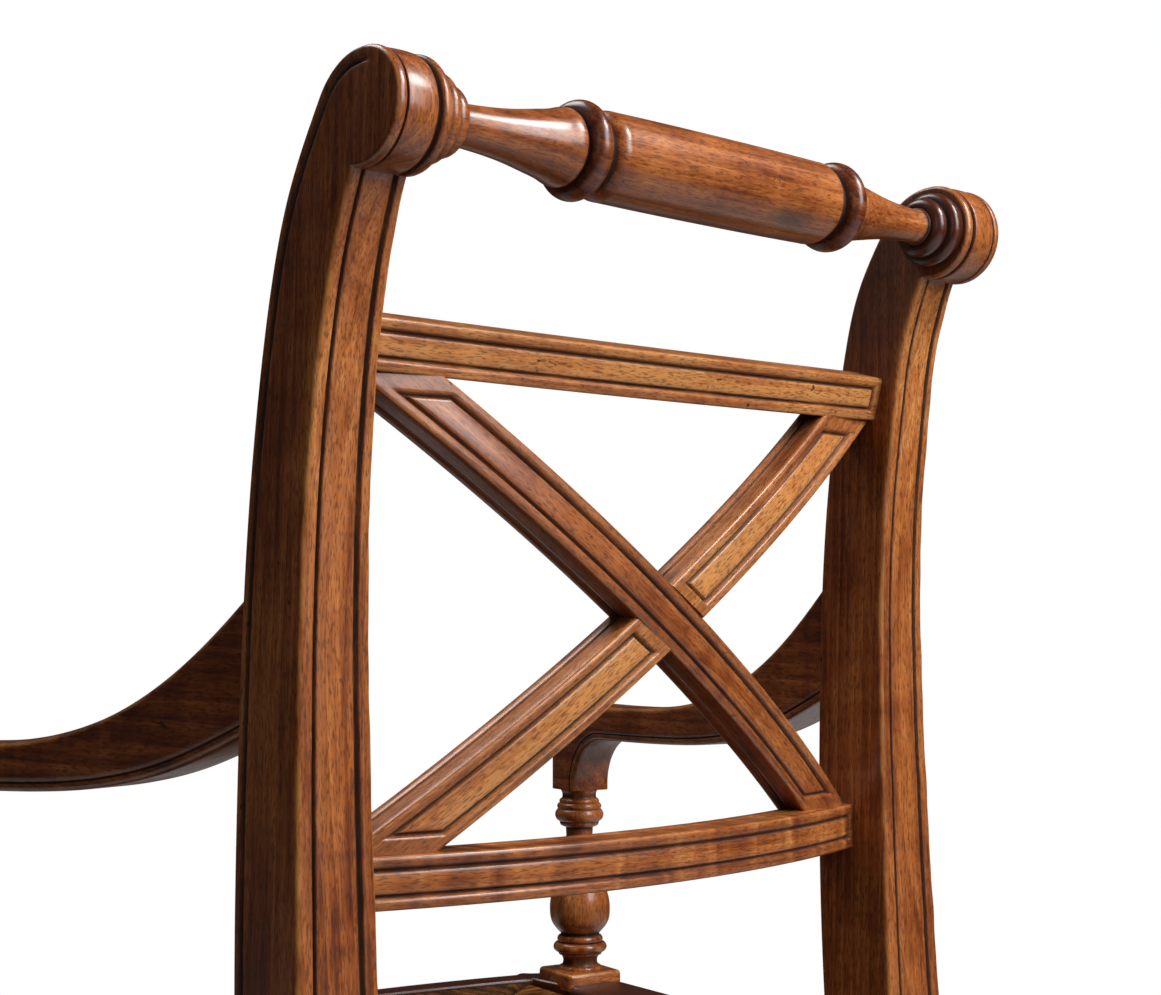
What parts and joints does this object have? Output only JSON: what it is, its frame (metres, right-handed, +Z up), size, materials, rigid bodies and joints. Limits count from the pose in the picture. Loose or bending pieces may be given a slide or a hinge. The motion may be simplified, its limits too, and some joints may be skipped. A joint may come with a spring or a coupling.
{
  "type": "cross frame dining armchair",
  "caption": "Wooden dining armchair with scrolled tapering stiles, a turned top rail, a bowed cross back, swept arms on turned supports and a woven drop-in seat.",
  "frame": {"origin": "on the floor, under the middle of the chair's overall box", "axes": "+Z up, the chair faces -Y, +X is the sitter's left"},
  "size_m": [0.6022, 0.532, 0.995],
  "materials": {
    "frame_wood": "stained and lacquered, satin",
    "hidden_wood": "planed, unfinished",
    "woven_rush": "coarse woven cord",
    "screw_steel": "zinc plated",
    "glide": "moulded"
  },
  "bodies": {
    "frame": {"left_stile": "frame_wood", "right_stile": "frame_wood", "turned_top_rail": "frame_wood", "upper_back_rail": "frame_wood", "lower_back_rail": "frame_wood", "cross_bar_a": "frame_wood", "cross_bar_b": "frame_wood", "left_arm": "frame_wood", "right_arm": "frame_wood", "left_arm_support": "frame_wood", "right_arm_support": "frame_wood", "left_front_leg": "frame_wood", "right_front_leg": "frame_wood", "front_seat_rail": "frame_wood", "rear_seat_rail": "frame_wood", "left_seat_rail": "frame_wood", "right_seat_rail": "frame_wood", "corner_blocks": "hidden_wood", "corner_block_screws": "screw_steel", "arm_dowels": "hidden_wood", "foot_glides": "glide"},
    "loose_seat": {"slip_frame_front": "hidden_wood", "slip_frame_rear": "hidden_wood", "slip_frame_left": "hidden_wood", "slip_frame_right": "hidden_wood", "woven_seat": "woven_rush"}
  },
  "joints": [
    {"name": "seat_lift", "type": "slide", "parent": "frame", "child": "loose_seat", "axis": [0, 0, 1], "range_m": [0, 0.06]}
  ]
}
